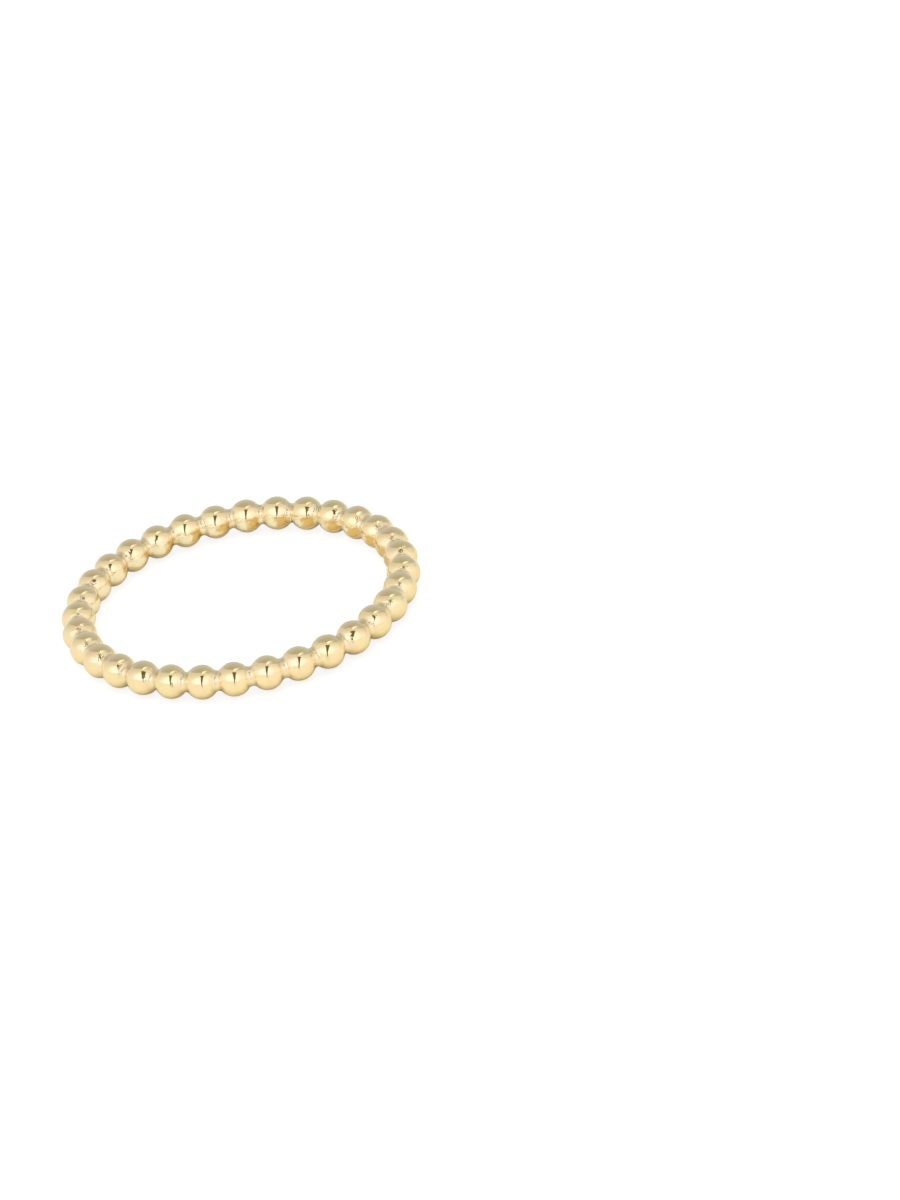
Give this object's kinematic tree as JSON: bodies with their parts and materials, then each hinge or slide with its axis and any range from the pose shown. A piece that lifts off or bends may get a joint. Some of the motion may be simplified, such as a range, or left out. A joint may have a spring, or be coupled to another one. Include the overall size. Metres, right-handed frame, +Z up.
{
  "type": "beaded stacking ring",
  "caption": "Slim closed finger ring of round polished gold beads that run into one another through short filleted necks, worn alone or stacked.",
  "frame": {"origin": "middle of the finger hole, on the surface that the beads rest on", "axes": "+Z up along the ring's own axis, the way a finger goes through; +X through the centre of one bead"},
  "size_m": [0.0214, 0.0214, 0.002],
  "materials": {
    "polished_gold": "bright polished pale yellow gold"
  },
  "bodies": {
    "root": {"beaded_band": "polished_gold"}
  },
  "joints": []
}
